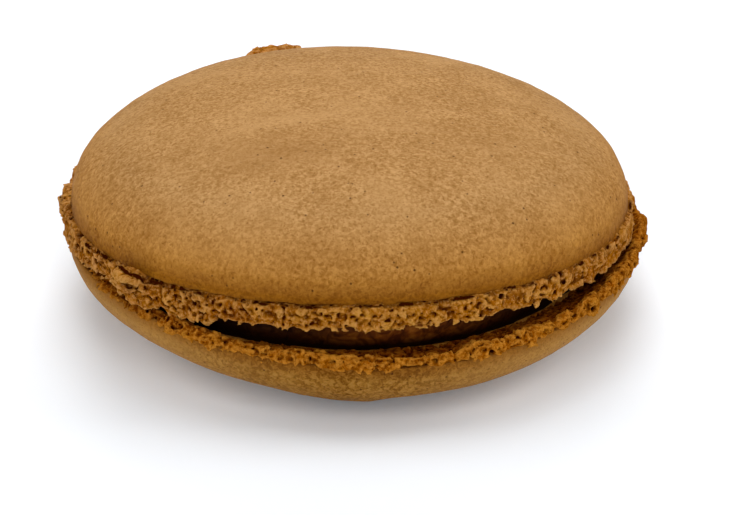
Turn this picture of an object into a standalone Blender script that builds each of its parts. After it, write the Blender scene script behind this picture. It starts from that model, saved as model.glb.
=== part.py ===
"""French macaron: two almond meringue shells with ruffled feet, held together by chocolate ganache.

Units are metres and +Z is up. The origin is the middle of the flat spot that the macaron rests on.
Angles are in degrees, anticlockwise from +X seen from above. The front, where the macaron gapes, is 270.

A wave is a mean followed by (swing, lobes, peak angle) terms: a radius or height that varies round a rim.
"""
import bpy
import numpy as np

MM = 0.001

# Top shell: skin edge, dome and foot
TOP_EDGE_RADIUS = (22.0 * MM, (0.13 * MM, 1, 180), (0.13 * MM, 2, 159))
TOP_EDGE_HEIGHT = (9.71 * MM, (0.97 * MM, 1, 263), (0.37 * MM, 2, 95))
TOP_RISE = 7.86 * MM
TOP_FULLNESS = 2.4
TOP_FOOT_RADIUS = (22.35 * MM, (0.1 * MM, 1, 60))
TOP_FOOT_HEIGHT = (7.54 * MM, (1.21 * MM, 1, 296), (0.57 * MM, 2, 81))
TOP_CREVICE = (0.26 * MM, (0.2 * MM, 1, 200))
TOP_CREVICE_DROP = 0.16 * MM
TOP_HEAD_DROP = 0.3 * MM
TOP_HEAD_INSET = 0.15 * MM
TOP_LIP_WIDTH = 0.75 * MM
TOP_BELLY = 0.14 * MM
TOP_PLATE_HEIGHT = (8.72 * MM, (0.48 * MM, 1, 280))

# Bottom shell: skin edge, bowl and foot
BOTTOM_EDGE_RADIUS = (22.75 * MM, (0.21 * MM, 1, 3), (0.13 * MM, 2, 121))
BOTTOM_EDGE_HEIGHT = (6.42 * MM, (0.19 * MM, 1, 171), (0.32 * MM, 2, 19), (0.23 * MM, 3, 340))
BOTTOM_DEPTH = 6.52 * MM
BOTTOM_FULLNESS = 2.42
BOTTOM_FOOT_TALL = 1.1 * MM
BOTTOM_FOOT_LEAN = (0.55 * MM, (0.4 * MM, 1, 180))
BOTTOM_CREVICE = 0.12 * MM
BOTTOM_CREVICE_RISE = 0.06 * MM
BOTTOM_FOOT_PROUD = 0.12 * MM
BOTTOM_FACE_RISE = 0.14 * MM
BOTTOM_LIP_WIDTH = 0.55 * MM
BOTTOM_BELLY = 0.1 * MM
BOTTOM_PLATE_HEIGHT = 6.4 * MM
FLAT_SPOT_RADIUS = 5.0 * MM
FLAT_SPOT_BLEND = 8.0 * MM
FLAT_SPOT_CLEAR = 0.4 * MM
FLAT_SPOT_STEP = 0.02 * MM

# Filling
FILLING_RADIUS = (20.3 * MM, (0.12 * MM, 2, 30), (0.1 * MM, 5, 70))
FILLING_BULGE = 0.18 * MM
FILLING_ROUNDED = 0.25 * MM
FILLING_SIDE_INSET = 0.1 * MM

# Where the feet meet the flat plates that hold the filling
FOOT_INNER_RADIUS = 20.85 * MM
INNER_SLOPE = 0.35 * MM

# Clearance kept between neighbouring pieces, and the least height of foot under the top one
GAP = 0.3 * MM
LEAST_FOOT = 0.48 * MM

# Swells of the rims: (centre angle, half width, mm out, mm up)
TOP_FOOT_FLARES = ((172, 20, 1.05, 0.1), (203, 7, 0.55, 0.1), (224, 4, 0.85, 0.35), (338, 12, 0.15, 0.0))
BOTTOM_FOOT_FLARES = ((357, 18, 0.6, 0.2), (318, 6, 0.15, 0.0), (130, 16, 0.3, 0.0))
RIM_LIFT_BACK = (106, 34, 0.8)
FRILL_ANGLE = 106
FRILL_HALF_WIDTHS = (7.5, 10.5)
FRILL_OUT = 2.55 * MM
FRILL_UP = 2.55 * MM

# Low keel under the front of the bottom shell
KEEL_ANGLE = 273.5
KEEL_RADIUS = 17.6 * MM
KEEL_DROP = 0.66 * MM
KEEL_ACROSS = (1.7 * MM, 5.5 * MM)
KEEL_ALONG = 2.6 * MM

# Depth of the crags on the feet, of the teeth on their lips and of the skin's slow unevenness
CRAG = 0.3 * MM
TEETH = 0.2 * MM
UNDER_RELIEF = 0.1 * MM
UNEVEN_SKIN = 0.07 * MM

# Points round each ring
FINE, MEDIUM, COARSE = 180, 90, 45
DOME_RINGS = ((0.14, COARSE), (0.29, COARSE), (0.44, COARSE), (0.58, MEDIUM), (0.7, MEDIUM), (0.8, MEDIUM),
              (0.88, MEDIUM), (0.94, MEDIUM), (0.98, MEDIUM), (1.0, FINE))
FOOT_LEVELS = (0.0, 0.2, 0.42, 0.64, 0.84, 1.0)

SKIN_COLOUR = (0.50, 0.27, 0.105, 1.0)
BOTTOM_SKIN_COLOUR = (0.46, 0.24, 0.09, 1.0)
GANACHE_COLOUR = (0.045, 0.016, 0.006, 1.0)


def angles(count):
    return np.arange(count) * 360.0 / count


def wave(spec, angle):
    mean, *terms = spec
    out = np.full(len(angle), float(mean))
    for swing, lobes, peak in terms:
        out += swing * np.cos(np.radians(lobes * (angle - peak)))
    return out


def turned(angle, centre):
    """How far each angle lies from the centre angle, from -180 to 180."""
    return (angle - centre + 180.0) % 360.0 - 180.0


def swell(angle, centre, half_width):
    return np.exp(-(turned(angle, centre) / half_width) ** 2)


def make_relief(seed, cells_round, cells_up):
    """Smooth random relief from -1 to 1 that closes up on itself round the rim."""
    table = np.random.default_rng(seed).uniform(-1.0, 1.0, (cells_round, cells_up + 2))

    def relief(angle, level):
        u = angle / 360.0 * cells_round
        v = np.clip(level, 0.0, 1.0) * cells_up
        i, j = np.floor(u).astype(int), int(np.floor(v))
        fu, fv = u - i, v - j
        fu, fv = fu * fu * (3 - 2 * fu), fv * fv * (3 - 2 * fv)
        a, b = table[i % cells_round], table[(i + 1) % cells_round]
        low = a[:, j] * (1 - fu) + b[:, j] * fu
        high = a[:, j + 1] * (1 - fu) + b[:, j + 1] * fu
        return low * (1 - fv) + high * fv

    return relief


def ring(angle, radius, height):
    turn = np.radians(angle)
    return np.stack([radius * np.cos(turn), radius * np.sin(turn), height + 0.0 * turn], axis=1)


def superellipse(share, fullness):
    """Height share of a rounded dome at this share of its edge radius."""
    return (1.0 - share ** fullness) ** (1.0 / fullness)


# Rims shared by the pieces

def rim_lift(angle):
    centre, half_width, lift = RIM_LIFT_BACK
    return lift * MM * swell(angle, centre, half_width)


def top_edge(angle):
    return wave(TOP_EDGE_RADIUS, angle), wave(TOP_EDGE_HEIGHT, angle) + rim_lift(angle)


def bottom_edge(angle):
    return wave(BOTTOM_EDGE_RADIUS, angle), wave(BOTTOM_EDGE_HEIGHT, angle)


def top_foot_low(angle):
    """Height of the top foot's lip, which leaves room for the foot below it where the macaron is shut."""
    return np.maximum(wave(TOP_FOOT_HEIGHT, angle), bottom_edge(angle)[1] + LEAST_FOOT + GAP)


def flares(angle, table):
    out, up = 0.0 * angle, 0.0 * angle
    for centre, half_width, mm_out, mm_up in table:
        here = swell(angle, centre, half_width)
        out += mm_out * MM * here
        up += mm_up * MM * here
    return out, up


def frill(angle):
    """1 across the frill that has burst up at the back, falling off sharply at its right end."""
    off = turned(angle, FRILL_ANGLE)
    half = np.where(off < 0, *FRILL_HALF_WIDTHS)
    return np.exp(-(off / half) ** 4)


CRAGS = [make_relief(seed, 64, 4) for seed in (11, 12)]
SMALL_CRAGS = [make_relief(seed, 110, 6) for seed in (21, 22)]
TEETH_RELIEF = [make_relief(seed, 72, 1) for seed in (31, 32)]
SKIN_RELIEF = [make_relief(seed, 7, 3) for seed in (41, 42)]


def crags(angle, level, side):
    return CRAG * (0.65 * CRAGS[side](angle, level) + 0.5 * SMALL_CRAGS[side](angle, level))


def teeth(angle, side):
    return TEETH * (TEETH_RELIEF[side](angle, 0.0) + 0.5 * SMALL_CRAGS[side](angle, 1.0))


# Rings of each piece, from its top middle, outwards and down, to its bottom middle

def top_rings():
    rings = [np.array([[0.0, 0.0, TOP_EDGE_HEIGHT[0] + TOP_RISE]])]
    for share, count in DOME_RINGS:
        angle = angles(count)
        radius, edge = wave(TOP_EDGE_RADIUS, angle), wave(TOP_EDGE_HEIGHT, angle)
        height = TOP_EDGE_HEIGHT[0] + (edge - TOP_EDGE_HEIGHT[0]) * share
        height += TOP_RISE * superellipse(share, TOP_FULLNESS) + rim_lift(angle) * share ** 8
        uneven = UNEVEN_SKIN * SKIN_RELIEF[0](angle, share) * share * (1.0 - share)
        rings.append(ring(angle, radius * share, height + 4.0 * uneven))
    angle = angles(FINE)
    edge_radius, edge_height = top_edge(angle)
    out, up = flares(angle, TOP_FOOT_FLARES)
    burst = frill(angle)
    crevice = edge_radius - wave(TOP_CREVICE, angle)
    rings.append(ring(angle, crevice, edge_height - TOP_CREVICE_DROP))
    low = top_foot_low(angle)
    head_radius = wave(TOP_FOOT_RADIUS, angle) - TOP_HEAD_INSET + out * 0.7 + FRILL_OUT * burst
    head_height = edge_height - TOP_HEAD_DROP + up + FRILL_UP * burst
    foot_radius = wave(TOP_FOOT_RADIUS, angle) + out
    ragged = np.maximum(teeth(angle, 0), -GAP / 3)
    for level in FOOT_LEVELS:
        radius = head_radius + (foot_radius - head_radius) * np.minimum(1.0, 1.4 * level)
        belly = TOP_BELLY * np.sin(np.pi * level)
        height = head_height + (low + ragged - head_height) * level
        rings.append(ring(angle, radius + belly + crags(angle, level, 0), height))
    under = low + 0.5 * np.maximum(ragged, 0.0)
    lip_inside = foot_radius - TOP_LIP_WIDTH - 0.5 * out
    rings.append(ring(angle, lip_inside, under + UNDER_RELIEF * (1.0 + CRAGS[0](angle, 0.5))))
    rings.append(ring(angle, FOOT_INNER_RADIUS + INNER_SLOPE, under + UNDER_RELIEF))
    rings.append(ring(angle, FOOT_INNER_RADIUS, np.maximum(wave(TOP_PLATE_HEIGHT, angle), low)))
    angle = angles(MEDIUM)
    rings.append(ring(angle, 0.82 * FOOT_INNER_RADIUS, wave(TOP_PLATE_HEIGHT, angle)))
    angle = angles(COARSE)
    middle = TOP_PLATE_HEIGHT[0]
    rings.append(ring(angle, 0.4 * FOOT_INNER_RADIUS, middle + 0.5 * (wave(TOP_PLATE_HEIGHT, angle) - middle)))
    rings.append(np.array([[0.0, 0.0, middle]]))
    return rings


def keel(points):
    """How far the keel lowers the skin at these points."""
    turn = np.radians(KEEL_ANGLE)
    outward, sideways = np.array([np.cos(turn), np.sin(turn)]), np.array([-np.sin(turn), np.cos(turn)])
    along = (points[:, :2] @ outward - KEEL_RADIUS) / KEEL_ALONG
    across = points[:, :2] @ sideways
    across /= np.where(across > 0.0, *KEEL_ACROSS)
    return KEEL_DROP * np.exp(-along ** 2 - across ** 2)


def bottom_rings():
    rings = [np.array([[0.0, 0.0, BOTTOM_PLATE_HEIGHT]])]
    for share, count in ((0.4, COARSE), (0.82, MEDIUM), (1.0, FINE)):
        angle = angles(count)
        rings.append(ring(angle, share * FOOT_INNER_RADIUS + 0.0 * angle, BOTTOM_PLATE_HEIGHT))
    edge_radius, edge_height = bottom_edge(angle)
    out, up = flares(angle, BOTTOM_FOOT_FLARES)
    head = np.minimum(edge_height + BOTTOM_FOOT_TALL, top_foot_low(angle) - GAP)
    ragged = np.minimum(teeth(angle, 1), GAP / 3)
    ridge_radius = edge_radius - wave(BOTTOM_FOOT_LEAN, angle) + 0.6 * out
    slope_radius = 0.6 * FOOT_INNER_RADIUS + 0.4 * ridge_radius
    slope_height = 0.45 * BOTTOM_PLATE_HEIGHT + 0.55 * head
    rings.append(ring(angle, slope_radius, slope_height + UNDER_RELIEF * CRAGS[1](angle, 0.5)))
    lip = np.minimum(head + ragged, top_foot_low(angle) - 0.8 * GAP)
    rings.append(ring(angle, ridge_radius - BOTTOM_LIP_WIDTH, lip - UNDER_RELIEF / 2))
    face_radius = edge_radius + BOTTOM_FOOT_PROUD + out
    for level in FOOT_LEVELS:
        radius = ridge_radius + (face_radius - ridge_radius) * np.minimum(1.0, 1.8 * level)
        belly = BOTTOM_BELLY * np.sin(np.pi * level)
        height = lip + (edge_height + BOTTOM_FACE_RISE - lip) * level
        rings.append(ring(angle, radius + belly + 0.8 * crags(angle, level, 1), height))
    rings.append(ring(angle, edge_radius - BOTTOM_CREVICE, edge_height + BOTTOM_CREVICE_RISE))
    for share, count in reversed(DOME_RINGS):
        angle = angles(count)
        radius, edge = bottom_edge(angle)
        height = BOTTOM_EDGE_HEIGHT[0] + (edge - BOTTOM_EDGE_HEIGHT[0]) * share
        height -= BOTTOM_DEPTH * superellipse(share, BOTTOM_FULLNESS)
        height += 4.0 * UNEVEN_SKIN * SKIN_RELIEF[1](angle, share) * share * (1.0 - share)
        skin = ring(angle, radius * share, height)
        skin[:, 2] -= keel(skin)
        out = np.clip((np.hypot(skin[:, 0], skin[:, 1]) - FLAT_SPOT_RADIUS) / FLAT_SPOT_BLEND, 0.0, 1.0)
        skin[:, 2] = np.maximum(skin[:, 2], FLAT_SPOT_CLEAR * out ** 2 + FLAT_SPOT_STEP)
        if share * BOTTOM_EDGE_RADIUS[0] > FLAT_SPOT_RADIUS:
            rings.append(skin)
    rings.append(ring(angles(COARSE), FLAT_SPOT_RADIUS, 0.0))
    rings.append(np.array([[0.0, 0.0, 0.0]]))
    return rings


def filling_rings():
    """The ganache: a disc that fills the space between the shells, with a softly bulging side."""
    def top(angle, share):
        middle = TOP_PLATE_HEIGHT[0]
        return middle + (wave(TOP_PLATE_HEIGHT, angle) - middle) * share - GAP

    low = BOTTOM_PLATE_HEIGHT + GAP
    rings = [np.array([[0.0, 0.0, TOP_PLATE_HEIGHT[0] - GAP]])]
    coarse, medium = angles(COARSE), angles(MEDIUM)
    rings.append(ring(coarse, 0.45 * FILLING_RADIUS[0], top(coarse, 0.45)))
    radius = wave(FILLING_RADIUS, medium)
    side_top = top(medium, 0.97)
    rings.append(ring(medium, 0.8 * radius, top(medium, 0.78)))
    rings.append(ring(medium, radius - FILLING_ROUNDED, side_top))
    for level in (0.12, 0.5, 0.88):
        bulge = FILLING_BULGE * np.sin(np.pi * level)
        rings.append(ring(medium, radius - FILLING_SIDE_INSET + bulge, side_top + (low - side_top) * level))
    rings.append(ring(medium, radius - FILLING_ROUNDED, low))
    rings.append(ring(coarse, 0.45 * FILLING_RADIUS[0], low))
    rings.append(np.array([[0.0, 0.0, low]]))
    return rings


# Mesh making

def strip(start_a, count_a, start_b, count_b):
    """Faces between two neighbouring rings, whose counts are equal, one twice the other, or one of them 1."""
    faces = []
    for k in range(max(count_a, count_b)):
        if count_a == count_b:
            n = (k + 1) % count_a
            faces.append((start_a + k, start_b + k, start_b + n, start_a + n))
        elif count_a == 1:
            faces.append((start_a, start_b + k, start_b + (k + 1) % count_b))
        elif count_b == 1:
            faces.append((start_a + k, start_b, start_a + (k + 1) % count_a))
        elif count_b == 2 * count_a:
            own, nearest, ahead = start_b + k, start_a + k // 2, start_a + (k // 2 + 1) % count_a
            following = start_b + (k + 1) % count_b
            if k % 2 == 0:
                faces.append((nearest, own, following))
            else:
                faces.append((nearest, own, ahead))
                faces.append((ahead, own, following))
        else:
            own, nearest, ahead = start_a + k, start_b + k // 2, start_b + (k // 2 + 1) % count_b
            following = start_a + (k + 1) % count_a
            if k % 2 == 0:
                faces.append((own, nearest, following))
            else:
                faces.append((own, nearest, ahead))
                faces.append((own, ahead, following))
    return faces


def make_piece(name, rings, colour, roughness):
    starts = np.cumsum([0] + [len(points) for points in rings])
    faces = []
    for k in range(len(rings) - 1):
        faces += strip(starts[k], len(rings[k]), starts[k + 1], len(rings[k + 1]))
    mesh = bpy.data.meshes.new(name)
    mesh.from_pydata([tuple(point) for point in np.concatenate(rings)], [], faces)
    mesh.validate()
    mesh.shade_smooth()
    material = bpy.data.materials.new(name)
    material.use_nodes = True
    shader = material.node_tree.nodes["Principled BSDF"]
    shader.inputs["Base Color"].default_value = colour
    shader.inputs["Roughness"].default_value = roughness
    shader.inputs["Metallic"].default_value = 0.0
    mesh.materials.append(material)
    piece = bpy.data.objects.new(name, mesh)
    bpy.context.scene.collection.objects.link(piece)
    return piece


def main():
    for old in list(bpy.data.objects):
        bpy.data.objects.remove(old, do_unlink=True)
    make_piece("shell_top", top_rings(), SKIN_COLOUR, 0.7)
    make_piece("filling", filling_rings(), GANACHE_COLOUR, 0.45)
    make_piece("shell_bottom", bottom_rings(), BOTTOM_SKIN_COLOUR, 0.7)


main()
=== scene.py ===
"""Looks of the french macaron: smooth speckled skins, crumbly pitted feet and a chocolate ganache filling.

Shapes are worked out in millimetres and made in metres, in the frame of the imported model.
Angles are in degrees, anticlockwise from +X seen from above. The front, where the macaron gapes, is 270.
A wave is a mean followed by (swing, lobes, peak angle) terms: a radius or height that varies round a rim.
A call of noise or rim_noise takes the size of its lumps and then its seed.
"""
import bpy
import numpy as np
from mathutils import Matrix, Vector

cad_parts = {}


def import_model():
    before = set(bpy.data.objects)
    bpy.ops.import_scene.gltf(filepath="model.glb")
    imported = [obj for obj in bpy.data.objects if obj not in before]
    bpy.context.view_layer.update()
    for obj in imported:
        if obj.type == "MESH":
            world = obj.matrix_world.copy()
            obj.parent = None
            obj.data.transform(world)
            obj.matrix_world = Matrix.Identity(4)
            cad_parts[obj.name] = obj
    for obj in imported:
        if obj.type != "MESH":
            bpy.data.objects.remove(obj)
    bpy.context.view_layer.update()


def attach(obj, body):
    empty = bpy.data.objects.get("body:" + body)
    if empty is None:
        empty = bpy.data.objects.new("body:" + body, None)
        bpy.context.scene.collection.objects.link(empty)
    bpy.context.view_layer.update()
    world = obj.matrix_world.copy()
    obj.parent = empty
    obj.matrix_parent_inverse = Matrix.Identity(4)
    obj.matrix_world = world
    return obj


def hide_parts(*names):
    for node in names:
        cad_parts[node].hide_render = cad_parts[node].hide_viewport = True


MM = 0.001

# Rims and domes, as in the solids
TOP_EDGE_RADIUS = (22.0, (0.13, 1, 180), (0.13, 2, 159))
TOP_EDGE_HEIGHT = (9.71, (0.97, 1, 263), (0.37, 2, 95))
TOP_RISE = 7.86
TOP_FULLNESS = 2.4
TOP_FOOT_RADIUS = (22.35, (0.1, 1, 60))
TOP_FOOT_HEIGHT = (7.54, (1.21, 1, 296), (0.57, 2, 81))
TOP_PLATE_HEIGHT = (8.72, (0.48, 1, 280))
BOTTOM_EDGE_RADIUS = (22.75, (0.21, 1, 3), (0.13, 2, 121))
BOTTOM_EDGE_HEIGHT = (6.42, (0.19, 1, 171), (0.32, 2, 19), (0.23, 3, 340))
BOTTOM_DEPTH = 6.52
BOTTOM_FULLNESS = 2.42
BOTTOM_FOOT_TALL = 0.85
BOTTOM_FOOT_LEAN = (0.45, (0.3, 1, 180))
BOTTOM_PLATE_HEIGHT = 6.4
FLAT_SPOT_RADIUS = 5.0
FLAT_SPOT_BLEND = 8.0
FLAT_SPOT_CLEAR = 0.4
FOOT_INNER_RADIUS = 20.85
FILLING_RADIUS = (20.0, (0.5, 1, 295), (0.1, 2, 30), (0.08, 5, 70))

# Swells of the rims: (angle, half width, out, up)
TOP_FOOT_FLARES = ((172, 20, 1.0, 0.1), (203, 7, 0.2, 0.1), (224, 4, 0.8, 0.35), (338, 12, 0.1, 0.0))
BOTTOM_FOOT_FLARES = ((357, 18, 0.55, 0.2), (318, 6, 0.15, 0.0), (130, 16, 0.3, 0.0))

# How the top shell's edge rises at the back: (angle, half width, lift)
RIM_LIFT_BACK = (106, 34, 0.8)

# The burst frill at the back: (half width, sharpness) of its right and left ends, and its reach (out, up)
FRILL_ANGLE = 106
FRILL_ENDS = ((6.2, 14), (10.2, 4))
FRILL_REACH = (2.53, 2.4)
FRILL_THICKNESS = 0.38

# Low keel under the front of the bottom shell
KEEL_ANGLE = 273.5
KEEL_RADIUS = 17.6
KEEL_DROP = 0.66
KEEL_ACROSS = (1.7, 5.5)
KEEL_ALONG = 2.6

# The top foot runs smoothly into its skin at the right, and the bottom foot is ruffled there:
# (angle, half width)
MERGED_RIGHT = (350, 42)
RUFFLED_RIGHT = (345, 45)

# The top foot's lower lip is raised a little all round and shifted in places. At the left the bottom foot's
# lower edge is raised and its face drawn in: (angle, half width, shift)
LIP_LIFT = 0.05
LIP_LIFTS = ((211, 11, 0.6), (237, 12, -0.45))
LEFT_ROOT_LIFT = (192, 17, 0.7)
LEFT_TUCK = (191, 15, 0.45)

# Where painted shade makes the bottom skin browner at the front; where the bottom foot is darker, at the left
# with
# more painted shade on its inner face; where the top foot is golden; where painted light makes the filling
# lighter:
# (angle, half width)
SHADED_FRONT = (268, 28)
DARKER_LEFT = (222, 22)
DARKER_RIGHT = (5, 42)
GOLDEN_FRONT = (280, 48)
LIGHTER_FILLING = (281, 17)

# Where the top foot's relief is lower, and where the bottom foot's is: (angle, half width, share taken off)
CALMER_TOP = ((290, 45, 0.15), (15, 40, 0.45))
CALMER_BOTTOM = ((0, 40, 0.35),)

# Long soft ovals on the dome: (x, y, turn, half length, half width, rise, tone), the tone lighter above 0
DOME_SWELLS = (
    (-5.2, -4.4, 16, 6.5, 1.3, 0.03, 0.42),
    (-5.4, -9.6, 12, 6.0, 2.6, -0.05, -0.42),
    (-8.2, -7.2, 14, 4.5, 1.8, 0.1, 0.0),
    (-9.5, -15.0, 18, 3.2, 1.2, 0.04, 0.3),
    (9.5, -6.5, -20, 4.5, 2.6, -0.03, -0.22),
)

# A flake that stands off the top foot like a small cup: angle, height, half width, half height
FLAKE = (224.5, 9.75, 1.0, 0.55)

# Large bubbles that have opened on the feet: (angle, height, radius)
TOP_BUBBLES = (
    (200, 9.45, 0.4), (315.4, 10.1, 0.3), (329.3, 9.55, 0.26), (239, 9.5, 0.26), (300, 10.2, 0.24),
)
BOTTOM_BUBBLES = ((322, 6.6, 0.3), (297, 6.2, 0.24), (341, 6.8, 0.26), (229.7, 7.1, 0.3))

# Relief of the feet's foam: plates and crumbs (size, height, seed step) and burst cells (spacing, radii,
# share of places, seed step), all bent by noise. FOAM_SWELL lets the surface out, and relief is worked out
# up to FOAM_REACH from it.
RIM_LAP = 2 * np.pi * 22.3
LUMPS = 0.15
FINE_NOISE = 0.12
PLATES = ((0.85, 0.3, 9), (0.42, 0.24, 10))
CRUMBS = ((1.1, 0.3, 3), (0.5, -0.2, 4), (0.3, 0.16, 8))
BUBBLES = ((1.7, (0.2, 0.36), 0.2, 5), (0.8, (0.1, 0.2), 0.4, 6), (0.45, (0.07, 0.14), 0.5, 7))
FOAM_SWELL = 0.12
FOAM_BEND = (0.28, 0.12)
FOAM_REACH = 0.9

# The seam under the dome's edge, a groove darkened with painted shade: its width, how much that varies and
# how much less it is where the foot merges, and where it is wider: (angle, half width, more)
SEAM = (0.1, 0.08, 0.12)
SEAM_WIDER = (228, 22, 0.14)

# How far the dome's edge strays up and down
EDGE_WOBBLE = 0.07

# Rings of the skins' hidden sides: (share of the foot's inner radius, points) and (radius, height, points)
TOP_PLATE_RINGS = ((0.99, 384), (0.6, 192), (0.2, 96))
BOTTOM_PLATE_RINGS = ((5.0, 6.3, 96), (12.0, 6.3, 192), (20.0, 6.3, 384), (20.3, 5.6, 384), (21.2, 5.5, 384))

# Mesh fineness
VOXEL = 0.12
SKIN_STEP = 0.17
HOLLOW_STEPS = 6
MOST_TRIANGLES = 196000

# Camera, fitted to the photograph's outline: target in the picture's own plane through the macaron's middle
VIEW_ELEVATION = 27.0
VIEW_DISTANCE = 200.0
VIEW_TARGET_HEIGHT = 12.72
VIEW_TARGET_RIGHT = 1.51
VIEW_TARGET_UP = -8.13
PIXELS_PER_MM = 12.63
IMAGE_WIDTH = 740
SENSOR = 36.0

# Soft round studio lamps, all turned to the macaron: (name, place, width, watts)
LIGHTS = (
    ("overhead", (0, 0, 320), 260, 0.4),
    ("overhead_back", (0, 160, 300), 260, 0.2),
    ("back", (0, 300, 200), 260, 0.45),
    ("front", (0, -260, 220), 200, 0.45),
    ("left", (-280, 0, 180), 200, 0.25),
    ("right", (280, 0, 180), 200, 0.3),
)
LAMP_TARGET = (0, 0, 9)
WORLD_LIGHT = 0.03
FLOOR_HALF = 600
# The floor's faint glow is painted light that lifts the shadows on the floor and under the macaron.
FLOOR_GLOW = (0.1, 0.12, 0.14)
FLOOR_COLOURS = ((0.885, 0.9, 0.925, 1.0), (0.9, 0.915, 0.94, 1.0))

# Colours as a picture shows them, 0 to 255. Tints multiply, those under edges over a range of the edge layer;
# the edge tints are painted shade, darkening and browning each skin towards its edge.
TOP_SKIN = {
    "light": (198, 153, 98), "mid": (176, 131, 77), "dark": (150, 105, 52), "speck": (130, 84, 34),
    "contrast": 1.0,
    "edges": (((0.15, 0.75), (1.0, 0.82, 0.4, 1.0)), ((0.68, 0.95), (0.6, 0.48, 0.12, 1.0))),
}
BOTTOM_SKIN = {
    "light": (174, 124, 54), "mid": (147, 98, 28), "dark": (117, 71, 9), "speck": (98, 56, 10),
    "contrast": 1.8,
    "edges": (((0.0, 1.0), (1.0, 1.0, 0.9, 1.0)), ((0.84, 0.98), (0.75, 0.62, 0.4, 1.0))),
    "paler": (188, 138, 74),
}
TOP_FOOT = {
    "light": (210, 153, 88), "mid": (172, 106, 22), "deep": (116, 54, 0), "darkest": (58, 18, 0),
    "pale": (178, 126, 62), "amber": (172, 98, 2), "inner_shade": 0.0, "tint": (1.0, 0.97, 0.62, 1.0),
}
BOTTOM_FOOT = {
    "light": (212, 143, 50), "mid": (156, 82, 0), "deep": (92, 36, 0), "darkest": (46, 10, 0),
    "pale": (174, 107, 24), "amber": (160, 84, 0), "inner_shade": 1.0, "tint": (0.74, 0.68, 0.56, 1.0),
}
PORE = (84, 42, 8)
GOLDEN_TINT = (1.0, 0.97, 0.55, 1.0)
INNER_SHADE_TINT = (0.5, 0.38, 0.25, 1.0)
# The filling's low and unlit colours are painted shade.
GANACHE = {
    "dark": (70, 28, 2), "mid": (110, 54, 6), "light": (148, 84, 22),
    "low": (12, 3, 0), "unlit": (22, 6, 0),
}


def wave(spec, angle):
    mean, *terms = spec
    out = np.full(np.shape(angle), float(mean))
    for swing, lobes, peak in terms:
        out = out + swing * np.cos(np.radians(lobes * (angle - peak)))
    return out


def angles(count):
    return np.arange(count) * 360.0 / count


def turned(angle, centre):
    """How far each angle lies from the centre angle, from -180 to 180."""
    return (angle - centre + 180.0) % 360.0 - 180.0


def swell(angle, centre, half_width):
    return np.exp(-(turned(angle, centre) / half_width) ** 2)


def flares(angle, table):
    out, up = 0.0 * angle, 0.0 * angle
    for centre, half_width, outward, upward in table:
        here = swell(angle, centre, half_width)
        out = out + outward * here
        up = up + upward * here
    return out, up


def frill(angle):
    """1 along the frill; it ends sharply at its right and tapers off at its left."""
    off = turned(angle, FRILL_ANGLE)
    (right, right_power), (left, left_power) = FRILL_ENDS
    return np.exp(-np.where(off < 0, np.abs(off / right) ** right_power, np.abs(off / left) ** left_power))


def rim_lift(angle):
    centre, half_width, lift = RIM_LIFT_BACK
    return lift * swell(angle, centre, half_width)


def superellipse(share, fullness):
    return (1.0 - np.minimum(share, 1.0) ** fullness) ** (1.0 / fullness)


def blend(low, high, x):
    """0 below low, 1 above high, smooth between."""
    s = np.clip((x - low) / (high - low), 0.0, 1.0)
    return s * s * (3 - 2 * s)


def smooth_max(a, b, width):
    near = np.maximum(width - np.abs(a - b), 0.0) / width
    return np.maximum(a, b) + near * near * width / 4


def smooth_min(a, b, width):
    return -smooth_max(-a, -b, width)


# Random relief

def cells(place, size, lap):
    """Where each point lies in a lattice of this size, whose first axis closes up after any lap given."""
    counts = [64, 64, 64]
    step = [size, size, size]
    if lap:
        counts[0] = max(3, int(round(lap / size)))
        step[0] = lap / counts[0]
    return place / np.array(step, np.float32), counts


def noise(place, size, seed, lap=None):
    """Smooth relief from -1 to 1."""
    at, counts = cells(place, size, lap)
    table = np.random.default_rng(seed).uniform(-1, 1, counts).astype(np.float32)
    index = np.floor(at).astype(np.int32)
    part = at - index
    part = part * part * (3 - 2 * part)
    out = np.zeros(len(place), np.float32)
    for corner in np.ndindex(2, 2, 2):
        weight = np.ones(len(place), np.float32)
        for axis in range(3):
            weight *= part[:, axis] if corner[axis] else 1 - part[:, axis]
        i, j, k = ((index[:, axis] + corner[axis]) % counts[axis] for axis in range(3))
        out += weight * table[i, j, k]
    return out


def scattered(place, size, seed, lap=None, radii=None, share=1.0):
    """Distance to the nearest of points scattered one a cell, or to the nearest of balls of these radii."""
    at, counts = cells(place, size, lap)
    draw = np.random.default_rng(seed)
    points = draw.uniform(0.15, 0.85, [3] + counts).astype(np.float32)
    ball = np.zeros(counts, np.float32)
    if radii:
        ball = draw.uniform(*radii, counts).astype(np.float32)
        ball[draw.random(counts) > share] = -9.0
    index = np.floor(at - 0.5).astype(np.int32)
    part = at - index
    nearest = np.full(len(place), 9.0, np.float32)
    for corner in np.ndindex(2, 2, 2):
        i, j, k = ((index[:, axis] + corner[axis]) % counts[axis] for axis in range(3))
        away = sum((points[axis][i, j, k] + corner[axis] - part[:, axis]) ** 2 for axis in range(3))
        nearest = np.minimum(nearest, np.sqrt(away) * np.float32(size) - ball[i, j, k])
    return nearest


def rim_noise(angle, size, seed):
    """Relief that varies only along the rim."""
    place = np.zeros((np.size(angle), 3), np.float32)
    place[:, 0] = np.ravel(angle) % 360.0 / 360.0 * RIM_LAP
    return 1.4 * noise(place, size, seed, RIM_LAP).reshape(np.shape(angle))


class Block:
    """A grid of points round the rim, in which a foot's surface is found."""

    def __init__(self, inner, outer, low, high):
        self.angle = angles(int(RIM_LAP / VOXEL))
        self.radius = np.arange(inner, outer, VOXEL)
        self.height = np.arange(low, high, VOXEL)

    def axes(self):
        return self.angle[:, None, None], self.radius[None, :, None], self.height[None, None, :]


# Meshes

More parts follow.
